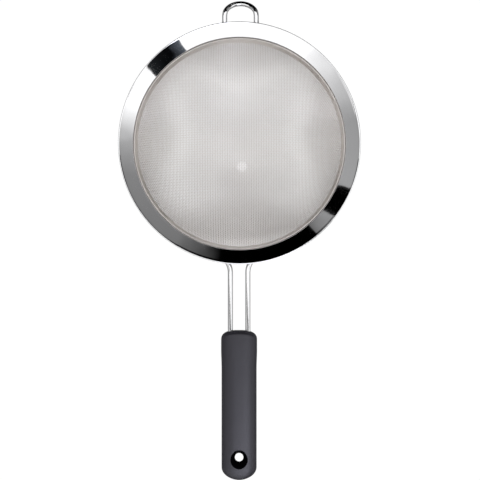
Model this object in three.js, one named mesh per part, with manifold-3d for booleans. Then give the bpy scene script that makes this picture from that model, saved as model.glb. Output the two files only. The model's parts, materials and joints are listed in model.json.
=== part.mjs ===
// Kitchen strainer: a dished wire-cloth bowl in a flared steel rim, a resting loop welded to the far
// side, and two rods that carry a soft grip with a hanging hole.
// Millimetres, +Z up, +Y from the grip towards the loop, +X across. The strainer lies as it does on a
// table, on its bowl and the tip of its grip, and the origin is under the middle of its bounding box.
import * as THREE from 'three';
import { mergeVertices } from 'three/addons/utils/BufferGeometryUtils.js';
import Module from 'manifold-3d';

const wasm = await Module();
wasm.setup();

// Driving dimensions of the rim: a sheet ring with a rolled bead, a flare facing in and up, and a skirt
const RIM_DIAMETER = 226;
const BEAD_DIAMETER = 2;
const MOUTH_DIAMETER = 200;
const FLARE_DROP = 9.8;
const SKIRT_HEIGHT = 14;
const SKIRT_DRAFT = 6.5;
const RIM_SHEET = 0.8;

// Driving dimensions of the wire cloth, whose pressed edge is held between the skirt and a clamp ring
const BOWL_DEPTH = 66;
const CLOTH_PITCH = 1.7;
const CLOTH_WIRE = 0.45;
const WIRES_PER_STRAND = 9;
const HEM_THICKNESS = 0.6;
const HEM_TURN_IN = 3;
const CLAMP_SHEET = 0.6;

// Driving dimensions of the bent rods: the loop and the two handle rods, welded under the flare. The weld
// is inset along the flare from its bend at the mouth.
const ROD_DIAMETER = 4.8;
const ROD_SPACING = 16.4;
const ROD_EXPOSED = 63.2;
const ROD_TANG = 92;
const ROD_BEND = 18;
const WELD_INSET = 4.9;
const WELD_FOOT = 32;
const LOOP_WIDTH = 34.5;
const LOOP_BEND = 13;
const LOOP_LEG = 0.6;

// Driving dimensions of the grip, a soft sleeve over a stiff core. Its front face is this high at the front
// and slopes up to the full height over the length NOSE_FACE_SLOPE.
const GRIP_LENGTH = 140;
const GRIP_WIDTH = 32.6;
const GRIP_THICKNESS = 20;
const GRIP_SWELL = 2;
const GRIP_NOSE = 9.2;
const NOSE_FACE_SLOPE = 4.2;
const NOSE_FACE_HEIGHT = 9;
const GRIP_TIP = 11.7;
const NOSE_FLARE = 0.9;
const NOSE_FLARE_LENGTH = 38;
const GRIP_WALL = 3.4;
const GRIP_NOSE_WALL = 7;
const CORE_THICKNESS = 12;
const HOLE_FROM_TIP = 19.5;
const HOLE_MOUTH = 16;
const HOLE_THROAT = 9;
const HOLE_LINING = 1.8;

// Clearance between neighbouring pieces, and how far a cutting tool runs past the face it cuts
const FIT = 0.3;
const CUT_PAST = 2;

// Facets
const RING_SIDES = 72;
const BEAD_SIDES = 12;
const ROD_SIDES = 10;
const ROD_STEP = 4.5;
const GRIP_SIDES = 24;
const HOLE_SIDES = 24;
const END_RINGS = 4;
const SIDE_RINGS = 8;

// Squareness of the grip's outlines: 2 is an ellipse, more is closer to a rectangle
const GRIP_SECTION_POWER = 2.6;
const NOSE_POWER = 2.7;
const TIP_POWER = 2;

// Heights below the top of the rim, and radii from the axis of the bowl
const rimRadius = RIM_DIAMETER / 2;
const mouthRadius = MOUTH_DIAMETER / 2;
const beadRadius = BEAD_DIAMETER / 2;
const rodRadius = ROD_DIAMETER / 2;
const beadCentre = new THREE.Vector2(rimRadius - beadRadius, -beadRadius);
const mouthLevel = -FLARE_DROP;
const mouthBend = new THREE.Vector2(mouthRadius, mouthLevel);
const skirtEnd = mouthLevel - SKIRT_HEIGHT;
const draftRatio = Math.tan(THREE.MathUtils.degToRad(SKIRT_DRAFT));
const skirtInside = (level) => mouthRadius - (mouthLevel - level) * draftRatio;

// The upper face of the flare rises straight from its bend at the mouth and runs into the bead
const toBead = beadCentre.clone().sub(mouthBend);
const flareSlope = toBead.angle() + Math.asin(beadRadius / toBead.length());
const flareAlong = new THREE.Vector2(Math.cos(flareSlope), Math.sin(flareSlope));
const flareUnder = new THREE.Vector2(flareAlong.y, -flareAlong.x);
const flareEnd = beadCentre.clone().addScaledVector(flareUnder, -beadRadius);

// The rods and the loop share one level, at which their feet lie against the underside of the flare
const weldCentre = mouthBend.clone()
  .addScaledVector(flareAlong, WELD_INSET)
  .addScaledVector(flareUnder, RIM_SHEET + FIT + rodRadius);
const weldRadius = weldCentre.x;
const rodLevel = weldCentre.y;
const gripStart = rimRadius + ROD_EXPOSED;

// The cloth lies on a sphere through its clamped edge; a strand stands for several wires and has their metal
const hemRadius = skirtInside(skirtEnd) - FIT - HEM_THICKNESS / 2;
const clothRadius = (hemRadius ** 2 + BOWL_DEPTH ** 2) / (2 * BOWL_DEPTH);
const clothCentre = new THREE.Vector3(0, 0, skirtEnd - BOWL_DEPTH + clothRadius);
const strandPitch = CLOTH_PITCH * WIRES_PER_STRAND;
const strandHalf = CLOTH_WIRE * Math.sqrt((WIRES_PER_STRAND * Math.PI) / 8);

const steel = { color: 0xc8c9cc, metalness: 1, roughness: 0.12 };
const cloth = { color: 0xb8b4b1, metalness: 1, roughness: 0.4 };
const softBlack = { color: 0x444248, metalness: 0, roughness: 0.75 };
const stiffBlack = { color: 0x2a2a2c, metalness: 0, roughness: 0.5 };

function toSolid(geometry) {
  const bare = geometry.clone();
  bare.deleteAttribute('normal');
  bare.deleteAttribute('uv');
  const merged = mergeVertices(bare);
  return new wasm.Manifold(new wasm.Mesh({
    numProp: 3,
    vertProperties: merged.attributes.position.array,
    triVerts: merged.index.array,
  }));
}

function toGeometry(solid) {
  const mesh = solid.getMesh();
  return meshGeometry(mesh.vertProperties, mesh.triVerts);
}

function meshGeometry(positions, triangles) {
  const geometry = new THREE.BufferGeometry();
  geometry.setAttribute('position', new THREE.Float32BufferAttribute(positions, 3));
  geometry.setIndex([...triangles]);
  geometry.computeVertexNormals();
  return geometry;
}

function piece(name, geometry, look) {
  const mesh = new THREE.Mesh(geometry, new THREE.MeshStandardMaterial(look));
  mesh.name = name;
  return mesh;
}

// A closed outline of (radius, height) points turned about the bowl's axis
function revolve(outline) {
  const points = THREE.ShapeUtils.isClockWise(outline) ? [...outline].reverse() : outline;
  const geometry = new THREE.LatheGeometry([...points, points[0]], RING_SIDES);
  return geometry.rotateX(Math.PI / 2);
}

// Outline of a bent sheet: one face follows the line, the other lies to its right, mitred at the bends
function sheetOutline(line, thickness) {
  const rightOf = (from, to) => {
    const along = to.clone().sub(from).normalize();
    return new THREE.Vector2(along.y, -along.x);
  };
  const otherFace = line.map((point, i) => {
    const before = rightOf(line[Math.max(i - 1, 0)], line[Math.max(i, 1)]);
    const after = rightOf(line[Math.min(i, line.length - 2)], line[Math.min(i + 1, line.length - 1)]);
    const mitre = before.clone().add(after).normalize();
    return point.clone().addScaledVector(mitre, thickness / mitre.dot(before));
  });
  return [...line, ...otherFace.reverse()];
}

function roundOutline(centre, radius, sides) {
  return Array.from({ length: sides }, (_, i) => {
    const angle = ((2 * i + 1) * Math.PI) / sides;
    return new THREE.Vector2(Math.cos(angle), Math.sin(angle)).multiplyScalar(radius).add(centre);
  });
}

// A drum about a vertical axis, from one level up to another, with its own radius at each end
function drum(low, high, lowRadius, highRadius, sides) {
  const geometry = new THREE.CylinderGeometry(highRadius, lowRadius, high - low, sides);
  return geometry.rotateX(Math.PI / 2).translate(0, 0, (low + high) / 2);
}

function rimBand() {
  const line = [
    new THREE.Vector2(skirtInside(skirtEnd), skirtEnd),
    mouthBend,
    flareEnd,
  ];
  const bead = toSolid(revolve(roundOutline(beadCentre, beadRadius, BEAD_SIDES)));
  return toGeometry(toSolid(revolve(sheetOutline(line, RIM_SHEET))).add(bead));
}

function clampRing() {
  const faceAt = (level) => skirtInside(level) - FIT - HEM_THICKNESS - FIT - CLAMP_SHEET;
  const line = [skirtEnd + FIT, mouthLevel].map((level) => new THREE.Vector2(faceAt(level), level));
  return revolve(sheetOutline(line, CLAMP_SHEET));
}

// Wire crossings of a square cloth that lies on a sphere without stretching its wires. The two middle
// wires run straight down the bowl. Every other crossing mirrors the one diagonally behind it in the
// plane through its two neighbours and the sphere's centre, so its wires keep their pitch.
function layCloth(reach) {
  const step = 2 * Math.asin(strandPitch / (2 * clothRadius));
  const last = Math.ceil(reach / step) + 1;
  const crossings = Array.from({ length: last + 1 }, () => []);
  const plane = new THREE.Plane();
  for (let i = 0; i <= last; i += 1) {
    for (let j = 0; j <= last; j += 1) {
      if (i === 0 || j === 0) {
        const across = Math.sin(Math.max(i, j) * step);
        const offset = new THREE.Vector3(i ? across : 0, j ? across : 0, -Math.cos(Math.max(i, j) * step));
        crossings[i][j] = offset.multiplyScalar(clothRadius).add(clothCentre);
      } else {
        plane.setFromCoplanarPoints(clothCentre, crossings[i - 1][j], crossings[i][j - 1]);
        const behind = crossings[i - 1][j - 1];
        crossings[i][j] = behind.clone().addScaledVector(plane.normal, -2 * plane.distanceToPoint(behind));
      }
    }
  }
  const at = (i, j) => {
    const quarter = crossings[Math.abs(i)][Math.abs(j)];
    return new THREE.Vector3(quarter.x * Math.sign(i), quarter.y * Math.sign(j), quarter.z);
  };
  return { at, last };
}

// The cloth as one net of strands with a diamond section, open in every gap that starts below the edge
function clothNet(reach) {
  const { at, last } = layCloth(reach);
  const edgeLevel = clothCentre.z - clothRadius * Math.cos(reach);
  const positions = [];
  const triangles = [];
  const ridges = new Map();
  const addPoint = (point) => positions.push(point.x, point.y, point.z) / 3 - 1;
  const addQuad = (a, b, c, d) => triangles.push(a, b, c, a, c, d);
  const ridgeAt = (i, j) => {
    const key = `${i},${j}`;
    if (!ridges.has(key)) {
      const point = at(i, j);
      const inward = clothCentre.clone().sub(point).normalize();
      ridges.set(key, {
        upper: addPoint(point.clone().addScaledVector(inward, strandHalf)),
        lower: addPoint(point.clone().addScaledVector(inward, -strandHalf)),
      });
    }
    return ridges.get(key);
  };
  const cornersOf = (i, j) => [[i, j], [i + 1, j], [i + 1, j + 1], [i, j + 1]];
  const beyondSide = [[0, -1], [1, 0], [0, 1], [-1, 0]];
  const isOpen = (i, j) => Math.min(i, j) >= -last && Math.max(i, j) < last
    && cornersOf(i, j).some(([a, b]) => at(a, b).z < edgeLevel);
  const gapCorner = (corner, next, before) => {
    const ahead = next.clone().sub(corner).normalize();
    const back = before.clone().sub(corner).normalize();
    const inset = strandHalf / ahead.clone().cross(back).length();
    return addPoint(corner.clone().addScaledVector(ahead.add(back), inset));
  };
  for (let i = -last; i < last; i += 1) {
    for (let j = -last; j < last; j += 1) {
      if (!isOpen(i, j)) continue;
      const corners = cornersOf(i, j);
      const points = corners.map(([a, b]) => at(a, b));
      const ridge = corners.map(([a, b]) => ridgeAt(a, b));
      const gap = points.map((p, k) => gapCorner(p, points[(k + 1) % 4], points[(k + 3) % 4]));
      beyondSide.forEach(([di, dj], k) => {
        const n = (k + 1) % 4;
        addQuad(ridge[k].upper, ridge[n].upper, gap[n], gap[k]);
        addQuad(ridge[n].lower, ridge[k].lower, gap[k], gap[n]);
        if (!isOpen(i + di, j + dj)) {
          addQuad(ridge[k].upper, ridge[k].lower, ridge[n].lower, ridge[n].upper);
        }
      });
    }
  }
  return meshGeometry(positions, triangles);
}

// The net, trimmed just under the skirt and fused to its pressed hem
function meshBowl() {
  const edge = Math.acos((clothCentre.z - skirtEnd) / clothRadius);
  const turnIn = edge - HEM_TURN_IN / clothRadius;
  const hemFace = (level) => skirtInside(level) - FIT - HEM_THICKNESS;
  const hemLine = [
    new THREE.Vector2(
      clothRadius * Math.sin(turnIn) - HEM_THICKNESS / 2,
      clothCentre.z - clothRadius * Math.cos(turnIn),
    ),
    new THREE.Vector2(hemFace(skirtEnd), skirtEnd),
    new THREE.Vector2(hemFace(mouthLevel - FIT), mouthLevel - FIT),
  ];
  const belowSkirt = drum(
    skirtEnd - BOWL_DEPTH - CUT_PAST, skirtEnd - FIT, rimRadius, rimRadius, RING_SIDES,
  );
  const net = toSolid(clothNet(edge)).intersect(toSolid(belowSkirt));
  return toGeometry(net.add(toSolid(revolve(sheetOutline(hemLine, HEM_THICKNESS)))));
}

// A flat path at one height; side -1 gives its mirror image
class LevelCurve extends THREE.Curve {
  constructor(path, level, side = 1) {
    super();
    this.path = path;
    this.level = level;
    this.side = side;
  }

  getPoint(t, target = new THREE.Vector3()) {
    const point = this.path.getPoint(t);
    return target.set(this.side * point.x, point.y, this.level);
  }
}

function bentRod(curve) {
  const section = new THREE.Shape(roundOutline(new THREE.Vector2(), rodRadius, ROD_SIDES));
  return new THREE.ExtrudeGeometry(section, {
    steps: Math.round(curve.getLength() / ROD_STEP),
    extrudePath: curve,
    bevelEnabled: false,
  });
}

// The bend of a given radius from a straight leg, this far from the middle, to a foot along the weld circle:
// how far out it starts, and the angles from the straight direction where the foot starts and ends
function weldBend(halfSpacing, radius) {
  const start = Math.sqrt((weldRadius + radius) ** 2 - (halfSpacing + radius) ** 2);
  const footStart = Math.atan2(halfSpacing + radius, start);
  return { start, footStart, footEnd: footStart + WELD_FOOT / weldRadius };
}

function handleRod(side) {
  const half = ROD_SPACING / 2;
  const { start, footStart, footEnd } = weldBend(half, ROD_BEND);
  const straight = -Math.PI / 2;
  const path = new THREE.Path();
  path.absarc(0, 0, weldRadius, straight + footEnd, straight + footStart, true);
  path.absarc(half + ROD_BEND, -start, ROD_BEND, Math.PI / 2 + footStart, Math.PI, false);
  path.lineTo(half, -gripStart - ROD_TANG);
  return bentRod(new LevelCurve(path, rodLevel, side));
}

function restLoop() {
  const half = (LOOP_WIDTH - ROD_DIAMETER) / 2;
  const { start, footStart, footEnd } = weldBend(half, LOOP_BEND);
  const straight = Math.PI / 2;
  const path = new THREE.Path();
  path.absarc(0, 0, weldRadius, straight - footEnd, straight - footStart, false);
  path.absarc(half + LOOP_BEND, start, LOOP_BEND, -straight - footStart, -Math.PI, true);
  path.absarc(0, start + LOOP_LEG, half, 0, Math.PI, false);
  path.absarc(-half - LOOP_BEND, start, LOOP_BEND, 0, footStart - straight, true);
  path.absarc(0, 0, weldRadius, straight + footStart, straight + footEnd, false);
  return bentRod(new LevelCurve(path, rodLevel));
}

// A closed body along -Y through rings of rounded section, each with its place, half width and half height
function loft(rings, power) {
  const positions = [];
  const triangles = [];
  const corner = (value) => Math.sign(value) * Math.abs(value) ** (2 / power);
  rings.forEach(({ place, width, height }) => {
    for (let k = 0; k < GRIP_SIDES; k += 1) {
      const angle = (2 * Math.PI * k) / GRIP_SIDES;
      positions.push(width * corner(Math.cos(angle)), -place, height * corner(Math.sin(angle)));
    }
  });
  const lastRing = (rings.length - 1) * GRIP_SIDES;
  for (let k = 0; k < GRIP_SIDES; k += 1) {
    const n = (k + 1) % GRIP_SIDES;
    for (let row = 0; row < lastRing; row += GRIP_SIDES) {
      const [a, b] = [row + k, row + n];
      triangles.push(a, b, b + GRIP_SIDES, a, b + GRIP_SIDES, a + GRIP_SIDES);
    }
    if (k > 0 && n > 0) {
      triangles.push(0, n, k, lastRing, lastRing + k, lastRing + n);
    }
  }
  return meshGeometry(positions, triangles);
}

// Rings of a body with a nose rounded in plan and a tip rounded in plan and height, given its half width and
// half height along it
function roundedRings(from, to, nose, tip, widthAt, heightAt) {
  const end = (depth, power, k) => {
    const angle = (k * Math.PI) / (2 * END_RINGS);
    return { in: depth * (1 - Math.cos(angle) ** (2 / power)), size: Math.sin(angle) ** (2 / power) };
  };
  const ring = (place, wide, high) => ({ place, width: wide * widthAt(place), height: high * heightAt(place) });
  const rings = [];
  for (let k = 1; k <= END_RINGS; k += 1) {
    const face = end(nose, NOSE_POWER, k - 0.5);
    rings.push(ring(from + face.in, face.size, 1));
  }
  for (let k = 0; k <= SIDE_RINGS; k += 1) {
    rings.push(ring(THREE.MathUtils.lerp(from + nose, to - tip, k / SIDE_RINGS), 1, 1));
  }
  for (let k = END_RINGS; k >= 1; k -= 1) {
    const face = end(tip, TIP_POWER, k - 0.5);
    rings.push(ring(to - face.in, face.size, face.size));
  }
  return rings;
}

// Half width of the grip along it: a little wider behind the nose, then straight
function gripHalfWidth(place) {
  const narrowed = THREE.MathUtils.smoothstep(place, GRIP_NOSE, NOSE_FLARE_LENGTH);
  return (GRIP_WIDTH + NOSE_FLARE * (1 - narrowed)) / 2;
}

// Half height of the grip along it: fullest in the palm, slimmer towards the tip and the sloping front face
function gripHalfHeight(place) {
  const full = GRIP_THICKNESS + GRIP_SWELL * Math.sin((Math.PI * place) / GRIP_LENGTH);
  const front = THREE.MathUtils.lerp(NOSE_FACE_HEIGHT, full, place / NOSE_FACE_SLOPE);
  return Math.min(full, front) / 2;
}

// The stiff core without its holes, grown on every side by the given amount
function coreBody(grow) {
  const half = GRIP_WIDTH / 2 - GRIP_WALL + grow;
  const from = GRIP_NOSE_WALL - grow;
  const to = GRIP_LENGTH - GRIP_WALL + grow;
  const rings = roundedRings(from, to, GRIP_NOSE, GRIP_TIP, () => half, () => CORE_THICKNESS / 2 + grow);
  return toSolid(loft(rings, GRIP_SECTION_POWER));
}

// An upright drum where the hanging hole is, wider than the hole's mouth by the given amount
function eye(extra) {
  const radius = HOLE_MOUTH / 2 + extra;
  const geometry = drum(-GRIP_THICKNESS, GRIP_THICKNESS, radius, radius, HOLE_SIDES);
  return toSolid(geometry.translate(0, HOLE_FROM_TIP - GRIP_LENGTH, 0));
}

// The seats of both rods, from in front of the grip to past the ends of the rods
function rodSeats() {
  const seats = [1, -1].map((side) => {
    const geometry = new THREE.CylinderGeometry(
      rodRadius + FIT, rodRadius + FIT, ROD_TANG + FIT + CUT_PAST, HOLE_SIDES / 2,
    );
    return toSolid(geometry.translate((side * ROD_SPACING) / 2, (CUT_PAST - ROD_TANG - FIT) / 2, 0));
  });
  return seats[0].add(seats[1]);
}

function handleCore() {
  return toGeometry(coreBody(0).subtract(eye(HOLE_LINING)).subtract(rodSeats()));
}

// The sleeve lines the hanging hole, which narrows evenly from the upper face to the lower one
function gripSleeve() {
  const rings = roundedRings(0, GRIP_LENGTH, GRIP_NOSE, GRIP_TIP, gripHalfWidth, gripHalfHeight);
  const face = gripHalfHeight(GRIP_LENGTH - HOLE_FROM_TIP);
  const widening = ((HOLE_MOUTH - HOLE_THROAT) / 2) * (CUT_PAST / (2 * face));
  const hole = drum(
    -face - CUT_PAST, face + CUT_PAST, HOLE_THROAT / 2 - widening, HOLE_MOUTH / 2 + widening, HOLE_SIDES,
  );
  return toGeometry(toSolid(loft(rings, GRIP_SECTION_POWER))
    .subtract(coreBody(FIT).subtract(eye(HOLE_LINING - FIT)))
    .subtract(rodSeats())
    .subtract(toSolid(hole.translate(0, HOLE_FROM_TIP - GRIP_LENGTH, 0))));
}

// Tilt at which the bowl and the tip of the grip touch one level surface
function restTilt() {
  const bowlRadius = clothRadius + strandHalf;
  const tipHeight = gripHalfHeight(GRIP_LENGTH - GRIP_TIP);
  const tipPlace = gripStart + GRIP_LENGTH - GRIP_TIP;
  let tilt = 0;
  for (let pass = 0; pass < 20; pass += 1) {
    const tipReach = Math.hypot(GRIP_TIP * Math.sin(tilt), tipHeight * Math.cos(tilt));
    const drop = bowlRadius - tipReach - (clothCentre.z - rodLevel) * Math.cos(tilt);
    tilt = Math.asin(drop / tipPlace);
  }
  return tilt;
}

const handle = new THREE.Group();
handle.position.set(0, -gripStart, rodLevel);
handle.add(
  piece('handle_core', handleCore(), stiffBlack),
  piece('grip_sleeve', gripSleeve(), softBlack),
);

const strainer = new THREE.Group();
strainer.add(
  piece('rim_band', rimBand(), steel),
  piece('mesh_clamp_ring', clampRing(), steel),
  piece('mesh_bowl', meshBowl(), cloth),
  piece('rest_loop', restLoop(), steel),
  piece('handle_rod_right', handleRod(1), steel),
  piece('handle_rod_left', handleRod(-1), steel),
  handle,
);
strainer.rotation.x = restTilt();

const bounds = new THREE.Box3().setFromObject(strainer, true);
strainer.position.set(0, -(bounds.min.y + bounds.max.y) / 2, -bounds.min.z);

export default strainer;
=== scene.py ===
"""Looks of a kitchen strainer: a bowl of woven wire, a polished rim, a loop, two rods and a soft grip."""
import json
import math

import bpy
import numpy as np
from mathutils import Matrix, Vector


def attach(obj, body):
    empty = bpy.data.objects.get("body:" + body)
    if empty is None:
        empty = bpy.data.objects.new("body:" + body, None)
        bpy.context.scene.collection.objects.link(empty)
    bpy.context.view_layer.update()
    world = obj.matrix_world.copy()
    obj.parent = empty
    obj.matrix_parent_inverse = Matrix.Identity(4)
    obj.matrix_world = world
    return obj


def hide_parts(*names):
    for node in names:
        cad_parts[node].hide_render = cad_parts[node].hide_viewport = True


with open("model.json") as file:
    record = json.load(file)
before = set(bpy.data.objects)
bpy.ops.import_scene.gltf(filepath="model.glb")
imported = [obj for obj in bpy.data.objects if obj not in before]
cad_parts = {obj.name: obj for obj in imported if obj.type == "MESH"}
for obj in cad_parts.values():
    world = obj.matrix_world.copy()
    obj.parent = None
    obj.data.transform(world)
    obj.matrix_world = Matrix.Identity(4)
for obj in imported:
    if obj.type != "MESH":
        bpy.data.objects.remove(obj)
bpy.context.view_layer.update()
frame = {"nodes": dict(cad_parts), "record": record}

# Sizes are in millimetres, in the strainer's own frame: the origin is on the axis of the bowl, level with the
# top of the rim, +Y runs to the loop and +Z out of the mouth.
MM = 0.001

# The rim
RIM_RADIUS = 113.4
RIM_SHEET = 0.8
BEAD_RADIUS = 0.6
BEAD_CURL = math.pi + 0.45
MOUTH_RADIUS = 100.0
MOUTH_BEND_RADIUS = 1.2
UNDER_BEND_RADIUS = 2.0
FLARE_DROP = 9.8
FLARE_ROLL = math.radians(7.0)
FLARE_ROLL_RADIUS = 24.0
SKIRT_HEIGHT = 14.0
SKIRT_DRAFT = math.radians(6.5)
SKIRT_EDGE = 0.25

# The wire cloth, its hem and the hoop that clamps it
BOWL_DEPTH = 66.0
CLOTH_PITCH = 1.7
CLOTH_WIRE = 0.45
CLOTH_OVERLAP = 0.5
HEM_THICKNESS = 0.6
HEM_INSET = 2.6
HEM_OVERHANG = 0.4
CLAMP_SHEET = 0.36
CLAMP_CREVICE = 0.54
CLAMP_BEVEL = 0.9
CLAMP_EDGES = (0.2, 0.15, 0.1, 0.2)

# The rods and the loop
ROD_RADIUS = 2.4
ROD_SPACING = 16.4
ROD_EXPOSED = 62.2
ROD_TANG = 92.0
ROD_BEND = 18.0
ROD_END = (0.0, 0.15, 0.5)
WELD_INSET = 4.9
WELD_FOOT = 32.0
LOOP_WIDTH = 34.5
LOOP_BEND = 13.0
LOOP_LEG = 3.5
LOOP_RISE = math.tan(math.radians(4.0))
LOOP_FOLD = math.radians(38.0)
LOOP_KNEE = 124.2
LOOP_KNEE_BEND = 0.8
LOOP_SHIFT = 0.95
HANDLE_SHIFT = -0.35

# The grip and its hanging hole
GRIP_LENGTH = 140.0
GRIP_WIDTH = 32.9
GRIP_THICKNESS = 20.0
GRIP_SWELL = 2.0
GRIP_NOSE = 9.2
GRIP_TIP = 11.7
GRIP_UNDERSIDE = 0.98
NOSE_FACE_SLOPE = 3.1
NOSE_FACE_HEIGHT = 12.5
NOSE_EDGE = 1.0
NOSE_CROWN = 0.8
NOSE_FLARE = 0.9
NOSE_FLARE_LENGTH = 38.0
NOSE_POWER = 2.7
SECTION_POWER = 2.6
TIP_POWER = 2.0
TIP_BLUNT = 0.35
TIP_LAST_TURN = 0.05
HOLE_FROM_TIP = 19.5
HOLE_MOUTH = 8.0
HOLE_THROAT = 4.0
HOLE_LIP = 1.2
HOLE_CUT_PAST = 3.0

# The gap between fitted pieces, and how finely shapes are drawn
FIT = 0.3
RIM_SIDES = 360
HEM_SIDES = 240
OUTLINE_STEP = 2.4
BEND_STEP = 1.2
LOOP_STEP = 0.6
SHAFT_STEP = 3.0
SAME_POINT = 1e-4
SHARP_SHEET = math.radians(40)
SHARP_ROD = math.radians(50)
SHARP_GRIP = math.radians(35)

# Levels and radii that follow from them
bead_centre = np.array([RIM_RADIUS - BEAD_RADIUS, -BEAD_RADIUS])
mouth_bend = np.array([MOUTH_RADIUS, -FLARE_DROP])
to_bead = bead_centre - mouth_bend
flare_slope = math.atan2(to_bead[1], to_bead[0]) + math.asin(BEAD_RADIUS / np.linalg.norm(to_bead))
flare_along = np.array([math.cos(flare_slope), math.sin(flare_slope)])
flare_under = np.array([flare_along[1], -flare_along[0]])
mouth_level = -FLARE_DROP
skirt_end = mouth_level - SKIRT_HEIGHT
weld_radius, rod_level = mouth_bend + WELD_INSET * flare_along + (RIM_SHEET + FIT + ROD_RADIUS) * flare_under
grip_start = RIM_RADIUS + ROD_EXPOSED


def skirt_inside(level):
    return MOUTH_RADIUS - (mouth_level - level) * math.tan(SKIRT_DRAFT)


hem_radius = skirt_inside(skirt_end) - FIT - HEM_THICKNESS / 2
cloth_radius = (hem_radius**2 + BOWL_DEPTH**2) / (2 * BOWL_DEPTH)
cloth_centre = np.array([0.0, 0.0, skirt_end - BOWL_DEPTH + cloth_radius])

# How the rim is tilted and where it lies, from the part's own mount and hoop
rim_top = next(m for m in frame["record"]["mounts"] if m["name"] == "rim_top")
rim_axis = Vector(rim_top["axis"])
rim_turn = Matrix.Rotation(math.atan2(-rim_axis.y, rim_axis.z), 4, "X")
ring_points = np.array([v.co for v in frame["nodes"]["mesh_clamp_ring"].data.vertices])
ring_middle = Vector(ring_points.mean(0))
rim_origin = ring_middle + rim_axis * (Vector(rim_top["pos_m"]) - ring_middle).dot(rim_axis)
to_row = Matrix.Translation(rim_origin) @ rim_turn


def in_row(points):
    """Points in millimetres in the strainer's frame, as metres in the row frame."""
    turn = np.array(to_row)
    return MM * np.asarray(points, float) @ turn[:3, :3].T + turn[:3, 3]


def add_piece(name, points, quads, tris, material, uv=None, uv_name="lay", sharp=None):
    """A smooth mesh of quads and triangles, with creases where faces meet at more than the sharp angle."""
    mesh = bpy.data.meshes.new(name)
    quads = np.asarray(quads, np.int32).reshape(-1, 4)
    tris = np.asarray(tris, np.int32).reshape(-1, 3)
    corners = np.concatenate([quads.ravel(), tris.ravel()])
    sizes = np.concatenate([np.full(len(quads), 4), np.full(len(tris), 3)])
    mesh.vertices.add(len(points))
    mesh.vertices.foreach_set("co", in_row(points).ravel())
    mesh.loops.add(len(corners))
    mesh.loops.foreach_set("vertex_index", corners)
    mesh.polygons.add(len(sizes))
    mesh.polygons.foreach_set("loop_start", np.cumsum(sizes) - sizes)
    mesh.polygons.foreach_set("use_smooth", np.ones(len(sizes), bool))
    mesh.update(calc_edges=True)
    mesh.validate()
    if uv is not None:
        layer = mesh.uv_layers.new(name=uv_name)
        layer.data.foreach_set("uv", np.asarray(uv, float).reshape(-1, 2).ravel())
    if sharp is not None:
        mesh.set_sharp_from_angle(angle=sharp)
    piece = bpy.data.objects.new(name, mesh)
    bpy.context.scene.collection.objects.link(piece)
    mesh.materials.append(material)
    return piece


def seat(piece, slot, *nodes):
    """Fixes a piece to the strainer's one body, in the place of the plain nodes."""
    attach(piece, "root")
    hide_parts(*nodes)


def grid_quads(rows, columns, wrap_rows=False, wrap_columns=False):
    """Quads of a grid of points numbered row by row, and the grid places of their corners."""
    r = np.arange(rows if wrap_rows else rows - 1)
    c = np.arange(columns if wrap_columns else columns - 1)
    r, c = [a.ravel() for a in np.meshgrid(r, c, indexing="ij")]
    r_next, c_next = r + 1, c + 1
    corners = [(r, c), (r, c_next), (r_next, c_next), (r_next, c)]
    quads = np.stack([(a % rows) * columns + b % columns for a, b in corners], 1)
    places = np.stack([np.stack([a, b], 1) for a, b in corners], 1)
    return quads, places


def full_turn(sides):
    return np.arange(sides) * 2 * math.pi / sides


def unit(vectors):
    return vectors / np.linalg.norm(vectors, axis=1, keepdims=True)


def ring_ways(across, along, sides):
    """Ways out from each point of a line, round it."""
    turn = full_turn(sides)
    upward = np.cross(across, along)
    return np.cos(turn)[:, None] * across[:, None] + np.sin(turn)[:, None] * upward[:, None]


def rounded(outline, radii, steps=6):
    """A closed outline with its corners rounded to the given radii; a radius of 0 leaves a corner sharp."""
    made = []
    count = len(outline)
    for k, radius in enumerate(radii):
        corner = np.asarray(outline[k], float)
        before = np.asarray(outline[k - 1], float) - corner
        after = np.asarray(outline[(k + 1) % count], float) - corner
        if radius == 0:
            made.append(corner)
            continue
        before /= np.linalg.norm(before)
        after /= np.linalg.norm(after)
        half = math.acos(max(-1.0, min(1.0, float(before @ after)))) / 2
        reach = radius / math.tan(half)
        middle = (before + after) / np.linalg.norm(before + after) * radius / math.sin(half)
        start, end = before * reach - middle, after * reach - middle
        angle = math.pi - 2 * half
        for s in range(steps + 1):
            t = s / steps
            turn = (math.sin((1 - t) * angle) * start + math.sin(t * angle) * end) / math.sin(angle)
            made.append(corner + middle + turn)
    return np.array(made)


def dense(outline, step):
    """A closed outline with points added so that none are further apart than the step."""
    made = []
    for a, b in zip(outline, np.roll(outline, -1, axis=0)):
        count = max(1, math.ceil(np.linalg.norm(b - a) / step))
        made.extend(a + (b - a) * np.arange(count)[:, None] / count)
    return np.array(made)


def revolve(name, outline, sides, material, sharp=None):
    """A closed outline of (radius, height) points turned about the bowl's axis."""
    outline = np.asarray(outline)
    area = np.sum(outline[:, 0] * np.roll(outline[:, 1], -1) - np.roll(outline[:, 0], -1) * outline[:, 1])
    if area < 0:
        outline = outline[::-1]
    turn = full_turn(sides)
    points = np.stack([
        outline[None, :, 0] * np.cos(turn)[:, None],
        outline[None, :, 0] * np.sin(turn)[:, None],
        np.broadcast_to(outline[None, :, 1], (sides, len(outline))),
    ], -1).reshape(-1, 3)
    quads, places = grid_quads(sides, len(outline), True, True)
    steps = np.linalg.norm(np.roll(outline, -1, axis=0) - outline, axis=1)
    along = np.concatenate([[0], np.cumsum(steps)])
    uv = np.stack([places[..., 0] * 2 * math.pi / sides * MOUTH_RADIUS, along[places[..., 1]]], -1) * MM
    return add_piece(name, points, quads[:, ::-1], [], material, uv[:, ::-1], sharp=sharp)


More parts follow.
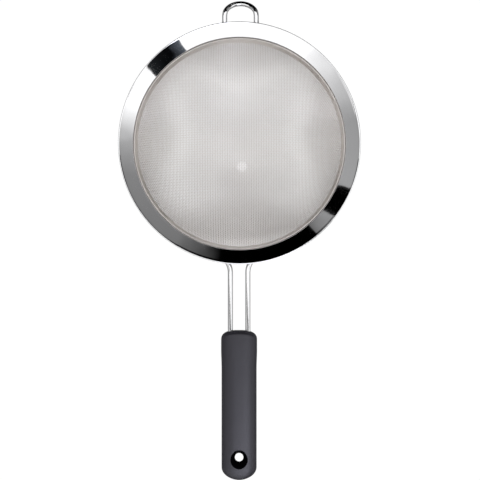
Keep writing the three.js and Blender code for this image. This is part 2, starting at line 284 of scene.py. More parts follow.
# The rim: a sheet bent at the mouth and flared out, whose edge turns a little flatter and rolls over into a
# bead, with the hoop and the hem of the cloth inside its skirt
def right_of(angle):
    return np.array([math.sin(angle), -math.cos(angle)])


def rim_outline():
    rise = FLARE_ROLL_RADIUS - (FLARE_ROLL_RADIUS - BEAD_RADIUS) * math.cos(FLARE_ROLL)
    slope = math.atan2(to_bead[1], to_bead[0]) + math.asin(rise / np.linalg.norm(to_bead))
    edge_slope = slope - FLARE_ROLL
    roll_centre = bead_centre + (FLARE_ROLL_RADIUS - BEAD_RADIUS) * right_of(edge_slope)
    edge_count, bead_count = 6, 26
    edge = np.array([right_of(a) for a in np.linspace(slope, edge_slope, edge_count)])
    bead_turn = np.linspace(edge_slope, edge_slope - BEAD_CURL, bead_count)
    bead = np.array([right_of(a) for a in bead_turn[1:]])
    skirt_out = RIM_SHEET * right_of(math.pi / 2 - SKIRT_DRAFT)
    sheet_under = RIM_SHEET * right_of(slope)
    under_bend = mouth_bend + (skirt_out + sheet_under) / (1 + skirt_out @ sheet_under / RIM_SHEET**2)
    foot = np.array([skirt_inside(skirt_end), skirt_end])
    corners = [
        foot,
        mouth_bend,
        *(roll_centre - FLARE_ROLL_RADIUS * edge),
        *(bead_centre - BEAD_RADIUS * bead),
        *(roll_centre - (FLARE_ROLL_RADIUS - RIM_SHEET) * edge[-2::-1]),
        under_bend,
        foot + skirt_out,
    ]
    radii = [0] * len(corners)
    radii[0] = radii[-1] = SKIRT_EDGE
    radii[1] = MOUTH_BEND_RADIUS
    radii[-2] = UNDER_BEND_RADIUS
    return dense(rounded(corners, radii), OUTLINE_STEP)


def clamp_outline():
    gap = FIT + HEM_THICKNESS + CLAMP_CREVICE
    top, bottom = mouth_level, skirt_end + FIT
    outside = [np.array([skirt_inside(level) - gap, level]) for level in (bottom, top)]
    inside = [outside[0] - [CLAMP_SHEET, 0], outside[1] - [CLAMP_SHEET, CLAMP_BEVEL]]
    corners = [inside[0], inside[1], outside[1], outside[0]]
    return dense(rounded(corners, CLAMP_EDGES), OUTLINE_STEP)


def hem_outline():
    top, bottom = mouth_level - HEM_INSET, skirt_end - HEM_OVERHANG
    outside = [np.array([skirt_inside(level) - FIT, level]) for level in (bottom, top)]
    inside = [point - [HEM_THICKNESS, 0] for point in outside]
    return [inside[0], inside[1], outside[1], outside[0]]


# The wire cloth lies on a sphere without stretching its wires. The two middle wires run straight down the
# bowl, and every other crossing mirrors the one diagonally behind it in the plane of its two neighbours.
def lay_cloth(reach):
    step = 2 * math.asin(CLOTH_PITCH / (2 * cloth_radius))
    last = math.ceil(reach / step) + 1
    angle = np.arange(last + 1) * step
    net = np.zeros((last + 1, last + 1, 3))
    net[:, 0] = np.stack([np.sin(angle), 0 * angle, -np.cos(angle)], 1)
    net[0, :] = np.stack([0 * angle, np.sin(angle), -np.cos(angle)], 1)
    for total in range(2, 2 * last + 1):
        i = np.arange(max(1, total - last), min(last, total - 1) + 1)
        j = total - i
        plane = unit(np.cross(net[i - 1, j], net[i, j - 1]))
        behind = net[i - 1, j - 1]
        net[i, j] = behind - 2 * np.sum(behind * plane, axis=1, keepdims=True) * plane
    return net


def wire_line(quarter, number, height):
    """Half a wire, from the middle of the bowl to its edge, and the way each crossing pushes it."""
    inside = np.nonzero(quarter[:, 2] >= height)[0]
    stop = inside[0] if len(inside) else len(quarter) - 1
    line = quarter[: stop + 1].copy()
    share = (height - line[-2, 2]) / (line[-1, 2] - line[-2, 2])
    line[-1] = line[-2] + (line[-1] - line[-2]) * share
    push = np.where((np.arange(stop + 1) + number) % 2 == 0, 1.0, -1.0)
    push[-1] = push[-2] + (push[-1] - push[-2]) * share
    return line, push


def wire_mesh(lines, radius, sides=6):
    """Wires along lines of (points, inward directions)."""
    points, quads, uv, start = [], [], [], 0
    for line, inward in lines:
        along = unit(np.gradient(line, axis=0))
        across = unit(np.cross(along, inward))
        points.append((line[:, None] + radius * ring_ways(across, along, sides)).reshape(-1, 3))
        faces, places = grid_quads(len(line), sides, False, True)
        quads.append(faces[:, ::-1] + start)
        uv.append((places / [len(line), sides])[:, ::-1])
        start += sides * len(line)
    return np.concatenate(points), np.concatenate(quads), np.concatenate(uv)


def weave(warp, weft):
    """Every wire of the cloth, over and under, in four pieces."""
    height = (skirt_end + CLOTH_OVERLAP - cloth_centre[2]) / cloth_radius
    # The shortest wires, whose middle lies this little below the edge, are left out
    least_drop = 0.004
    net = lay_cloth(math.acos(-height))
    radius = CLOTH_WIRE / 2
    sets = {"warp_right": [], "warp_left": [], "weft_far": [], "weft_near": []}
    for number in range(net.shape[0]):
        for lengthwise in (True, False):
            quarter = net[number] if lengthwise else net[:, number]
            if quarter[0, 2] >= height - least_drop:
                continue
            line, push = wire_line(quarter, number, height)
            if not lengthwise:
                push = -push
            names = ("warp_right", "warp_left") if lengthwise else ("weft_far", "weft_near")
            mirror = np.array([1, -1, 1]) if lengthwise else np.array([-1, 1, 1])
            whole = np.concatenate([(line * mirror)[:0:-1], line])
            pushes = np.concatenate([push[:0:-1], push])[:, None]
            sides = (1, -1) if number else (1,)
            for name, side in zip(names, sides):
                flip = np.array([side, 1, 1]) if lengthwise else np.array([1, side, 1])
                unit = whole * flip
                middle = cloth_centre + unit * (cloth_radius - radius * pushes)
                sets[name].append((middle, -unit))
    for name, lines in sets.items():
        points, quads, uv = wire_mesh(lines, radius)
        material = warp if name.startswith("warp") else weft
        seat(add_piece(name, points, quads, [], material, uv, "OFBake"), "wire_cloth", "mesh_bowl")


# The rods and the loop: bent rods whose feet are welded along the underside of the flare
def arc(centre, radius, start, end, step=BEND_STEP):
    count = max(2, math.ceil(abs(end - start) * radius / step) + 1)
    turn = np.linspace(start, end, count)
    return np.stack([centre[0] + radius * np.cos(turn), centre[1] + radius * np.sin(turn)], 1)


def weld_bend(half, radius):
    start = math.sqrt((weld_radius + radius) ** 2 - (half + radius) ** 2)
    foot_start = math.atan2(half + radius, start)
    return start, foot_start, foot_start + WELD_FOOT / weld_radius


def joined(parts):
    line = np.concatenate(parts)
    keep = np.concatenate([[True], np.linalg.norm(np.diff(line, axis=0), axis=1) > SAME_POINT])
    return line[keep]


def rod_line(side):
    half = ROD_SPACING / 2
    start, foot_start, foot_end = weld_bend(half, ROD_BEND)
    straight = -math.pi / 2
    shaft_end = grip_start + ROD_TANG
    shaft = np.linspace(-start, -shaft_end, math.ceil((shaft_end - start) / SHAFT_STEP))
    line = joined([
        arc((0, 0), weld_radius, straight + foot_end, straight + foot_start),
        arc((half + ROD_BEND, -start), ROD_BEND, math.pi / 2 + foot_start, math.pi),
        np.stack([np.full(len(shaft), half), shaft], 1),
    ])
    return np.column_stack([line * [side, 1] + [HANDLE_SHIFT, 0], np.full(len(line), rod_level)])


def loop_line():
    half = LOOP_WIDTH / 2 - ROD_RADIUS
    start, foot_start, foot_end = weld_bend(half, LOOP_BEND)
    straight = math.pi / 2
    flat = joined([
        arc((0, 0), weld_radius, straight - foot_end, straight - foot_start),
        arc((half + LOOP_BEND, start), LOOP_BEND, -straight - foot_start, -math.pi),
        arc((0, start + LOOP_LEG), half, 0, math.pi, LOOP_STEP),
        arc((-half - LOOP_BEND, start), LOOP_BEND, 0, foot_start - straight),
        arc((0, 0), weld_radius, straight + foot_start, straight + foot_end),
    ])
    past_rim = np.maximum(0, flat[:, 1] - weld_radius)
    past_knee = flat[:, 1] - LOOP_KNEE
    folded = (past_knee + np.hypot(past_knee, LOOP_KNEE_BEND)) / 2
    return np.stack([
        flat[:, 0] + LOOP_SHIFT,
        flat[:, 1] - folded * (1 - math.cos(LOOP_FOLD)),
        rod_level + LOOP_RISE * past_rim - folded * math.sin(LOOP_FOLD),
    ], 1)


def end_fans(rings, sides):
    """Triangles that close the first and the last ring of a tube."""
    fan = np.arange(1, sides - 1)
    first = np.stack([np.zeros_like(fan), fan, fan + 1], 1)
    return np.concatenate([first, first[:, ::-1] + (rings - 1) * sides])


def bent_rod(name, line, material, sides=32):
    """A round rod along a line, with its ends rounded off."""
    along = unit(np.gradient(line, axis=0))
    end = np.array(ROD_END)
    head = line[0] + along[0] * end[:, None]
    tail = line[-1] - along[-1] * end[::-1, None]
    centres = np.concatenate([head, line[1:-1], tail])
    first, last = [np.repeat(way, len(end), 0) for way in (along[:1], along[-1:])]
    ways = np.concatenate([first, along[1:-1], last])
    radii = np.full(len(centres), ROD_RADIUS)
    radii[:len(end)] -= end[::-1]
    radii[-len(end):] -= end
    across = unit(np.stack([ways[:, 1], -ways[:, 0], 0 * ways[:, 0]], 1))
    points = centres[:, None] + radii[:, None, None] * ring_ways(across, ways, sides)
    quads, places = grid_quads(len(centres), sides, False, True)
    run = np.concatenate([[0], np.cumsum(np.linalg.norm(np.diff(centres, axis=0), axis=1))])
    uv = np.stack([run[places[..., 0]], places[..., 1] * 2 * math.pi * ROD_RADIUS / sides], -1) * MM
    caps = end_fans(len(centres), sides)
    uv = np.concatenate([uv[:, ::-1].reshape(-1, 2), np.zeros((caps.size, 2))])
    return add_piece(name, points.reshape(-1, 3), quads[:, ::-1], caps, material, uv, sharp=SHARP_ROD)


# The grip: a loft of rounded sections, with a hanging hole that narrows downwards
def smoothstep(value, low, high):
    t = np.clip((value - low) / (high - low), 0, 1)
    return t * t * (3 - 2 * t)


def grip_rings():
    """Place, half width, height above and depth below the middle of each section, with a square nose."""
    nose_count, body_count, tip_count = 43, 60, 28
    tip_turn = np.linspace(math.pi / 2, TIP_LAST_TURN, tip_count)
    place = np.concatenate([
        np.linspace(0, 2 * NOSE_FACE_SLOPE, nose_count),
        np.linspace(2 * NOSE_FACE_SLOPE, GRIP_LENGTH - GRIP_TIP, body_count)[1:-1],
        GRIP_LENGTH - GRIP_TIP * (1 - np.cos(tip_turn) ** (2 / TIP_POWER)),
    ])
    size = np.ones(len(place))
    size[-tip_count:] = np.sin(tip_turn) ** (2 / TIP_POWER)
    width = GRIP_WIDTH + NOSE_FLARE * (1 - smoothstep(place, GRIP_NOSE, NOSE_FLARE_LENGTH))
    full = GRIP_THICKNESS + GRIP_SWELL * np.sin(math.pi * place / GRIP_LENGTH)
    full -= NOSE_CROWN * np.exp(-place / NOSE_FACE_SLOPE)
    front = NOSE_FACE_HEIGHT + (GRIP_THICKNESS - NOSE_FACE_HEIGHT) * place / NOSE_FACE_SLOPE
    height = (full + front - np.hypot(full - front, NOSE_EDGE)) / 2
    return place, size * width / 2, size**TIP_BLUNT * height / 2, GRIP_UNDERSIDE * size * height / 2


def grip_body(material, sides=96):
    place, width, height, depth = grip_rings()
    turn = full_turn(sides)
    across = np.sign(np.cos(turn)) * np.abs(np.cos(turn)) ** (2 / SECTION_POWER)
    upward = np.sign(np.sin(turn)) * np.abs(np.sin(turn)) ** (2 / SECTION_POWER)
    set_back = GRIP_NOSE * (1 - (1 - np.minimum(1, np.abs(across)) ** NOSE_POWER) ** (1 / NOSE_POWER))
    nose = 1 - smoothstep(place, NOSE_FACE_SLOPE, NOSE_FLARE_LENGTH)
    points = np.stack([
        HANDLE_SHIFT + width[:, None] * across,
        -grip_start - place[:, None] - nose[:, None] * set_back,
        rod_level + np.where(upward > 0, height[:, None], depth[:, None]) * upward,
    ], -1).reshape(-1, 3)
    quads, _ = grid_quads(len(place), sides, False, True)
    upper = np.arange(sides // 2)
    lower = sides - upper
    front = np.concatenate([
        np.stack([upper, lower - 1, upper + 1], 1)[:-1],
        np.stack([upper, lower % sides, lower - 1], 1)[1:],
    ])
    caps = np.concatenate([front, front[:, ::-1] + (len(place) - 1) * sides])
    return add_piece("grip", points, quads, caps, material)


def hole_cutter(material, sides=96):
    """The shape of the hanging hole, with a rounded lip at both faces."""
    half = (GRIP_THICKNESS + GRIP_SWELL * math.sin(math.pi * HOLE_FROM_TIP / GRIP_LENGTH)) / 2
    lip_count = 9
    lip = np.linspace(0, math.pi / 2, lip_count)
    inset, rise = HOLE_LIP * (1 - np.sin(lip)), HOLE_LIP * (1 - np.cos(lip))
    profile = np.concatenate([
        [(HOLE_THROAT + HOLE_LIP, -half - HOLE_CUT_PAST)],
        np.stack([HOLE_THROAT + inset, rise - half], 1),
        np.stack([HOLE_MOUTH + inset, half - rise], 1)[::-1],
        [(HOLE_MOUTH + HOLE_LIP, half + HOLE_CUT_PAST)],
    ])
    turn = full_turn(sides)
    points = np.stack([
        HANDLE_SHIFT + profile[:, :1] * np.cos(turn),
        profile[:, :1] * np.sin(turn) - grip_start - GRIP_LENGTH + HOLE_FROM_TIP,
        np.broadcast_to(rod_level + profile[:, 1:], (len(profile), sides)),
    ], -1).reshape(-1, 3)
    quads, _ = grid_quads(len(profile), sides, False, True)
    caps = end_fans(len(profile), sides)[:, ::-1]
    return add_piece("hole_cutter", points, quads, caps, material)


def cut(body, tool):
    """Takes the tool's shape out of the body for good."""
    modifier = body.modifiers.new("cut", "BOOLEAN")
    modifier.object = tool
    modifier.operation = "DIFFERENCE"
    modifier.solver = "EXACT"
    modifier.material_mode = "TRANSFER"
    depsgraph = bpy.context.evaluated_depsgraph_get()
    made = bpy.data.meshes.new_from_object(body.evaluated_get(depsgraph))
    body.modifiers.clear()
    body.data = made
    bpy.data.objects.remove(tool)
    made.polygons.foreach_set("use_smooth", np.ones(len(made.polygons), bool))
    made.set_sharp_from_angle(angle=SHARP_GRIP)


# Materials. A pair of colours is the dark and the light end of a slow unevenness, and scales are per metre.
STEEL = ((0.80, 0.80, 0.81), (0.88, 0.88, 0.89))
STEEL_UNEVENNESS = 22.0
SATIN_STEEL = ((0.80, 0.775, 0.74), (0.90, 0.875, 0.84))
# The warp wires are painted darker and the weft wires lighter than the one steel of the cloth: painted shade
# and painted light for how light falls on wires that run each way.
WARP_SHADED_STEEL = ((0.68, 0.635, 0.605), (0.76, 0.715, 0.685))
WEFT_LIT_STEEL = ((0.87, 0.83, 0.805), (0.95, 0.91, 0.885))
WIRE_ROUGH = (0.28, 0.42)
WIRE_PATCHES = 60.0
WIRE_GRAIN = 1500.0
SOFT_RUBBER = ((0.014, 0.0131, 0.0195), (0.018, 0.017, 0.0245))
# The inside of the hanging hole is painted near black and without sheen: painted shade of the deep hole in
# the same rubber.
HOLE_PAINTED_SHADE = ((0.004, 0.0038, 0.005), (0.006, 0.0057, 0.0075))
RUBBER_PATCHES = 55.0
RUBBER_GRAIN = 2600.0
RUBBER_BUMP = (0.35, 0.00012)
PLASTIC = ((0.02, 0.02, 0.021), (0.03, 0.03, 0.031))
PLASTIC_ROUGH = (0.4, 0.55)
PLASTIC_GRAIN = 900.0


def new_material(name):
    material = bpy.data.materials.new(name)
    material.use_nodes = True
    tree = material.node_tree
    return material, tree, tree.nodes["Principled BSDF"]


def object_place(tree):
    return tree.nodes.new("ShaderNodeTexCoord").outputs["Object"]


def lay_place(tree):
    """Where a point is along and across the lay of its surface."""
    node = tree.nodes.new("ShaderNodeUVMap")
    node.uv_map = "lay"
    return node.outputs["UV"]


def noise(tree, place, scale, detail=3.0):
    node = tree.nodes.new("ShaderNodeTexNoise")
    node.inputs["Scale"].default_value = scale
    node.inputs["Detail"].default_value = detail
    tree.links.new(place, node.inputs["Vector"])
    return node.outputs["Fac"]


def spread(tree, value, low, high):
    """A value of 0 to 1, spread from low to high."""
    node = tree.nodes.new("ShaderNodeMapRange")
    node.inputs["To Min"].default_value = low
    node.inputs["To Max"].default_value = high
    tree.links.new(value, node.inputs["Value"])
    return node.outputs["Result"]


def tint(tree, value, dark, light):
    node = tree.nodes.new("ShaderNodeMix")
    node.data_type = "RGBA"
    node.inputs["A"].default_value = (*dark, 1)
    node.inputs["B"].default_value = (*light, 1)
    tree.links.new(value, node.inputs["Factor"])
    return node.outputs["Result"]


def bump(tree, value, strength, distance):
    node = tree.nodes.new("ShaderNodeBump")
    node.inputs["Strength"].default_value = strength
    node.inputs["Distance"].default_value = distance
    tree.links.new(value, node.inputs["Height"])
    return node.outputs["Normal"]


def worked_out(tree, kind, operation, values):
    """A node that works something out from values and from the outputs of other nodes."""
    node = tree.nodes.new(kind)
    node.operation = operation
    for socket, value in zip(node.inputs, values):
        if isinstance(value, bpy.types.NodeSocket):
            tree.links.new(value, socket)
        else:
            socket.default_value = value
    return node.outputs


def value_math(tree, operation, *values):
    return worked_out(tree, "ShaderNodeMath", operation, values)["Value"]


def vector_math(tree, operation, *values, output="Vector"):
    return worked_out(tree, "ShaderNodeVectorMath", operation, values)[output]


def metal(name, colours, rough, wave, lay_scale):
    """Steel with faint drawing marks along its lay and a slow unevenness in its polish."""
    material, tree, shader = new_material(name)
    slow = noise(tree, object_place(tree), STEEL_UNEVENNESS, detail=1.5)
    stretch = tree.nodes.new("ShaderNodeMapping")
    stretch.inputs["Scale"].default_value = lay_scale
    tree.links.new(lay_place(tree), stretch.inputs["Vector"])
    marks = noise(tree, stretch.outputs["Vector"], 1.0, detail=4.0)
    both = value_math(tree, "MULTIPLY_ADD", slow, 0.5, value_math(tree, "MULTIPLY", marks, 0.5))
    shader.inputs["Metallic"].default_value = 1.0
    tree.links.new(tint(tree, both, *colours), shader.inputs["Base Color"])
    tree.links.new(spread(tree, marks, *rough), shader.inputs["Roughness"])
    tree.links.new(bump(tree, slow, 1.0, wave), shader.inputs["Normal"])
    return material


def wire_steel(name, colours):
    material, tree, shader = new_material(name)
    place = object_place(tree)
    patch = noise(tree, place, WIRE_PATCHES)
    grain = noise(tree, place, WIRE_GRAIN)
    shader.inputs["Metallic"].default_value = 1.0
    tree.links.new(tint(tree, patch, *colours), shader.inputs["Base Color"])
    tree.links.new(spread(tree, grain, *WIRE_ROUGH), shader.inputs["Roughness"])
    return material


def rubber(name, colours, rough, specular=0.5):
    material, tree, shader = new_material(name)
    place = object_place(tree)
    patch = noise(tree, place, RUBBER_PATCHES)
    grain = noise(tree, place, RUBBER_GRAIN, detail=2.0)
    shader.inputs["Specular IOR Level"].default_value = specular
    tree.links.new(tint(tree, patch, *colours), shader.inputs["Base Color"])
    tree.links.new(spread(tree, grain, *rough), shader.inputs["Roughness"])
    tree.links.new(bump(tree, grain, *RUBBER_BUMP), shader.inputs["Normal"])
    return material


def stiff_plastic():
    material, tree, shader = new_material("stiff_plastic")
    grain = noise(tree, object_place(tree), PLASTIC_GRAIN)
    tree.links.new(tint(tree, grain, *PLASTIC), shader.inputs["Base Color"])
    tree.links.new(spread(tree, grain, *PLASTIC_ROUGH), shader.inputs["Roughness"])
    return material


polished = metal("polished_steel", STEEL, rough=(0.04, 0.08), wave=0.0012, lay_scale=(6.0, 900.0, 1.0))
bright_rod = metal("bright_rod", STEEL, rough=(0.07, 0.14), wave=0.0002, lay_scale=(8.0, 700.0, 1.0))
satin = metal("satin_steel", SATIN_STEEL, rough=(0.3, 0.45), wave=0.0002, lay_scale=(8.0, 1600.0, 1.0))
# Painted shade on the warp wires, painted light on the weft wires
warp = wire_steel("warp_wire", WARP_SHADED_STEEL)
weft = wire_steel("weft_wire", WEFT_LIT_STEEL)
grip_rubber = rubber("soft_rubber", SOFT_RUBBER, rough=(0.36, 0.5))
# The walls of the hanging hole, near black: painted shade of the deep hole
hole_painted_shade = rubber("rubber_painted_hole_shade", HOLE_PAINTED_SHADE, rough=(0.6, 0.7), specular=0.0)

# The pieces
seat(revolve("rim", rim_outline(), RIM_SIDES, polished, SHARP_SHEET), "polished_steel", "rim_band")
seat(revolve("clamp_hoop", clamp_outline(), RIM_SIDES, satin, SHARP_SHEET), "satin_steel", "mesh_clamp_ring")
# The hem takes the warp wires' material, with its painted shade
seat(revolve("cloth_hem", hem_outline(), HEM_SIDES, warp, SHARP_SHEET), "wire_cloth", "mesh_bowl")
weave(warp, weft)
seat(bent_rod("loop", loop_line(), bright_rod), "polished_steel", "rest_loop")
seat(bent_rod("rod_right", rod_line(1), bright_rod), "polished_steel", "handle_rod_right")
seat(bent_rod("rod_left", rod_line(-1), bright_rod), "polished_steel", "handle_rod_left")
grip = grip_body(grip_rubber)
# The cut gives the walls of the hole the painted shade of the hole
cut(grip, hole_cutter(hole_painted_shade))
seat(grip, "grip_rubber", "grip_sleeve")
core = frame["nodes"]["handle_core"]
core.data.materials.clear()
core.data.materials.append(stiff_plastic())

# Stage: a white floor, white surroundings, and cards and flags that the polished metal reflects
FLOOR_HALF = 15.0
FLOOR_COLOUR = (0.9, 0.9, 0.9, 1)
FLOOR_GLOW = 1.045
FLOOR_MIRRORED = 0.3
WORLD_LIGHT = 0.8
WORLD_SEEN = 1.25
OWN_WHITE = 0.95

# How much of the floor's own white shows, in pairs of (distance in millimetres from a point under the bowl,
# share): a painted shade of the cloth on the floor, with a painted bright spot where the bowl rests. The real
# shade of the cloth on the matte floor makes up the rest.
BOWL_MIDDLE = (0, 13, -97)
BOWL_SHADES = ((0, 0.42), (40, 0.62), (54, 0.84), (62, 0.72), (70, 0.5), (80, 0.34), (92, 0.2), (104, 0.15))
OUTSIDE_SHADES = ((0, 0.0), (104, 0.0), (116, 1.0))
SHADE_LOBES = 0.35
NEAR_SIDE = (4, -77, -97)
NEAR_SHADES = ((0, 0.2), (25, 0.35), (45, 0.7), (65, 1.0))
# A painted bright spot where the bowl rests on the floor, and painted shade beside it
TOUCH_POINT = (2.6, -17, -87)
TOUCH_SHADES = ((0, 1.0), (4, 0.95), (7, 0.0))
BESIDE_TOUCH = (-3, -29, -84.5)
BESIDE_SHADES = ((0, 0.35), (8, 0.5), (21, 1.0))
SHADE_REACH = 200.0

WHITE = (1, 1, 1)
UNLIT = (0.0, 0.0)
WALL_RADIUS = 1300.0
BAND_RADIUS = 1290.0
WALL = (-300.0, 900.0)
HIGH_WALL = (-300.0, 1400.0)
BAND = (710.0, 1400.0)
WALL_STEP = 3.0


def by_ray(tree, camera_value, mirror_value):
    """One value for rays from the camera, another for those that mirrors send on, and none for the rest."""
    path = tree.nodes.new("ShaderNodeLightPath").outputs
    mirrored = value_math(tree, "MAXIMUM", path["Is Glossy Ray"], path["Is Transmission Ray"])
    mirror = spread(tree, mirrored, 0.0, mirror_value)
    camera = spread(tree, path["Is Camera Ray"], 0.0, camera_value)
    return value_math(tree, "ADD", mirror, camera)


def bare_material(name):
    """A material without a surface."""
    material, tree, shader = new_material(name)
    tree.nodes.remove(shader)
    return material, tree, tree.nodes["Material Output"].inputs["Surface"]


def mixed(tree, share, first, second):
    node = tree.nodes.new("ShaderNodeMixShader")
    for socket, source in zip(node.inputs, (share, first, second)):
        tree.links.new(source, socket)
    return node.outputs["Shader"]


def shade_curve(tree, distance, shades):
    """A value that follows pairs of (distance in millimetres, value), for a distance in metres."""
    node = tree.nodes.new("ShaderNodeFloatCurve")
    curve = node.mapping.curves[0]
    curve.points[1].location = (1.0, shades[-1][1])
    curve.points[0].location = (0.0, shades[0][1])
    for place, shade in shades[1:]:
        curve.points.new(place / SHADE_REACH, shade)
    for point in curve.points:
        point.handle_type = "VECTOR"
    node.mapping.extend = "HORIZONTAL"
    node.mapping.update()
    tree.links.new(spread(tree, distance, 0.0, 1 / (MM * SHADE_REACH)), node.inputs["Value"])
    return node.outputs["Value"]


def floor_shade(tree, where):
    """The share of the floor's own white, a painted shade: lobed under the bowl, least near the grip, and a
    painted bright spot where it rests.
    """
    points = in_row([BOWL_MIDDLE, NEAR_SIDE, TOUCH_POINT, BESIDE_TOUCH]) * (1, 1, 0)
    reach, near_reach, touch_reach, beside_reach = [
        vector_math(tree, "DISTANCE", where, point, output="Value") for point in points
    ]
    way = vector_math(tree, "NORMALIZE", vector_math(tree, "SUBTRACT", where, points[0]))
    squares = vector_math(tree, "MULTIPLY", way, way)
    crossed = vector_math(tree, "DOT_PRODUCT", squares, squares, output="Value")
    lobed_reach = value_math(tree, "MULTIPLY", reach, spread(tree, crossed, 1.0 - 2.0 * SHADE_LOBES, 1.0))
    shade = shade_curve(tree, lobed_reach, BOWL_SHADES)
    # Painted shade near the grip and beside the resting point, and a painted bright spot where the bowl rests
    shade = value_math(tree, "MULTIPLY", shade, shade_curve(tree, near_reach, NEAR_SHADES))
    shade = value_math(tree, "MULTIPLY", shade, shade_curve(tree, beside_reach, BESIDE_SHADES))
    shade = value_math(tree, "MAXIMUM", shade, shade_curve(tree, touch_reach, TOUCH_SHADES))
    return value_math(tree, "MAXIMUM", shade, shade_curve(tree, reach, OUTSIDE_SHADES))


def white_floor():
    """White by itself except under the bowl, where a painted shade lets the real shade of the cloth show, and
    clear from below.
    """
    material, tree, surface = bare_material("white_floor")
    matte = tree.nodes.new("ShaderNodeBsdfDiffuse")
    matte.inputs["Color"].default_value = FLOOR_COLOUR
    glow = tree.nodes.new("ShaderNodeEmission")
    tree.links.new(by_ray(tree, FLOOR_GLOW, FLOOR_MIRRORED), glow.inputs["Strength"])
    clear = tree.nodes.new("ShaderNodeBsdfTransparent")
    geometry = tree.nodes.new("ShaderNodeNewGeometry").outputs
    own = value_math(tree, "MULTIPLY", by_ray(tree, OWN_WHITE, 1.0), floor_shade(tree, geometry["Position"]))
    above = mixed(tree, own, matte.outputs["BSDF"], glow.outputs["Emission"])
    tree.links.new(mixed(tree, geometry["Backfacing"], above, clear.outputs["BSDF"]), surface)
    return material


def graded_glow(name, levels, top_share, colour):
    """Light that goes from one level to another along a card and falls off upwards."""
    material, tree, surface = bare_material(name)
    place = tree.nodes.new("ShaderNodeSeparateXYZ")
    tree.links.new(lay_place(tree), place.inputs["Vector"])
    along = spread(tree, place.outputs["X"], *levels)
    upward = spread(tree, place.outputs["Y"], 2.0 - top_share, top_share)
    glow = tree.nodes.new("ShaderNodeEmission")
    glow.inputs["Color"].default_value = (*colour, 1)
    tree.links.new(value_math(tree, "MULTIPLY", along, upward), glow.inputs["Strength"])
    tree.links.new(glow.outputs["Emission"], surface)
    return material


def card(name, low_row, high_row, levels, top_share=1.0, lights=True, colour=WHITE):
    """A card through two rows of points that only the object sees."""
    quads, places = grid_quads(2, len(low_row))
    uv = places[..., ::-1] / [len(low_row) - 1, 1]
    glow = graded_glow(name, levels, top_share, colour)
    made = add_piece(name, np.concatenate([low_row, high_row]), quads, [], glow, uv)
    made.visible_camera = False
    made.visible_shadow = False
    made.visible_diffuse = lights


def wall(name, bearings, heights, levels, top_share=1.0, colour=WHITE, radius=WALL_RADIUS):
    """An upright card bent round the bowl's axis, between two bearings in degrees."""
    count = max(2, int(abs(bearings[1] - bearings[0]) / WALL_STEP) + 1)
    turn = np.radians(np.linspace(*bearings, count))
    round_axis = radius * np.stack([np.cos(turn), np.sin(turn)], 1)
    rows = [np.column_stack([round_axis, np.full(len(turn), height)]) for height in heights]
    card(name, *rows, levels, top_share, colour=colour)


floor_mesh = bpy.data.meshes.new("floor")
floor_corners = [(x * FLOOR_HALF, y * FLOOR_HALF, 0) for x, y in ((-1, -1), (1, -1), (1, 1), (-1, 1))]
floor_mesh.from_pydata(floor_corners, [], [(0, 1, 2, 3)])
floor_mesh.materials.append(white_floor())
floor = bpy.data.objects.new("floor", floor_mesh)
bpy.context.scene.collection.objects.link(floor)

wall("wall_far", (78.5, 128.5), HIGH_WALL, UNLIT)
wall("gap_far", (128.5, 138.5), HIGH_WALL, (0.16, 0.36))
wall("wall_left", (138.5, 152.6), HIGH_WALL, UNLIT)
wall("side_left_far", (152.6, 186), WALL, (0.42, 0.39), 0.85)
wall("side_left", (186, 208), WALL, (0.39, 0.70), 0.85)
wall("side_left_near", (208, 230), WALL, (0.70, 1.2), 0.9)
wall("side_right_edge", (60, 78.5), WALL, (0.21, 0.0), 0.7)
wall("side_right_far", (20, 60), WALL, (0.27, 0.21), 0.8)
wall("side_right", (2, 20), WALL, (0.47, 0.27), 0.85)
wall("side_right_near", (345, 362), WALL, (1.25, 0.47), 0.9)
wall("post_right", (310.5, 323.5), (60, 1800), (0.0, 0.02), colour=(0.8, 0.9, 1.0))
wall("post_right_side", (302.5, 310.5), (140, 1400), (0.16, 0.03), colour=(0.75, 0.85, 1.0))
wall("band_left", (116, 168), BAND, UNLIT, radius=BAND_RADIUS)
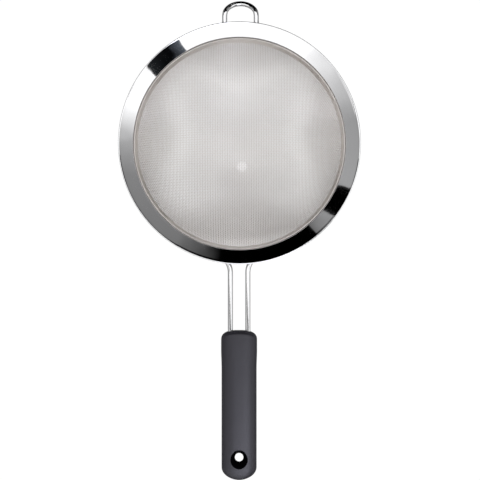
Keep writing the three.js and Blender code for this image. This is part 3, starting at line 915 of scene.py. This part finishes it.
wall("band_right", (12, 64), BAND, UNLIT, radius=BAND_RADIUS)
card("flag_high", [(-190, 152, 140), (110, 152, 140)], [(-190, 290, 140), (110, 290, 140)],
     UNLIT, lights=False)
card("flag_low", [(-280, 260, -90), (280, 260, -90)], [(-280, 260, 42), (280, 260, 42)],
     UNLIT, lights=False)
card("flag_edge", [(-900, -143, 584), (700, -230, 584)], [(-900, -173, 584), (700, -260, 584)],
     UNLIT, lights=False)
card("flag_near", [(-1100, -142, 590), (130, -176, 590)], [(-1100, -480, 590), (130, -480, 590)],
     (0.85, 0.7), lights=False)
card("softbox", [(-50, -285, 420), (260, -285, 360)], [(-50, -640, 420), (260, -640, 360)],
     (3.0, 4.6), lights=False, colour=(0.95, 0.96, 1.08))

world = bpy.data.worlds.new("white")
bpy.context.scene.world = world
world.use_nodes = True
background = world.node_tree.nodes["Background"].inputs
background["Color"].default_value = (*WHITE, 1)
seen = by_ray(world.node_tree, 1.0, 1.0)
world.node_tree.links.new(spread(world.node_tree, seen, WORLD_LIGHT, WORLD_SEEN), background["Strength"])


def soft_light(name, where, aim, size, power):
    light = bpy.data.lights.new(name, "AREA")
    light.shape = "DISK"
    light.size = size
    light.energy = power
    made = bpy.data.objects.new(name, light)
    bpy.context.scene.collection.objects.link(made)
    start, end = [Vector(p) for p in in_row([where, aim])]
    made.location = start
    made.rotation_euler = (end - start).to_track_quat("-Z", "Y").to_euler()
    made.visible_camera = False
    made.visible_glossy = False


soft_light("key", where=(250, -250, 1350), aim=(0, -120, -20), size=0.7, power=7.0)

# The camera looks straight down into the bowl, from above the near part of the rim
CAMERA_PLACE = (0.5, -90.7, 1400.0)
lens = bpy.data.cameras.new("camera")
lens.sensor_width = 36
lens.lens = 112.5
lens.clip_end = 100
camera = bpy.data.objects.new("camera", lens)
bpy.context.scene.collection.objects.link(camera)
camera.matrix_world = to_row @ Matrix.Translation(MM * Vector(CAMERA_PLACE))
bpy.context.scene.camera = camera
bpy.context.scene.view_settings.view_transform = "Standard"
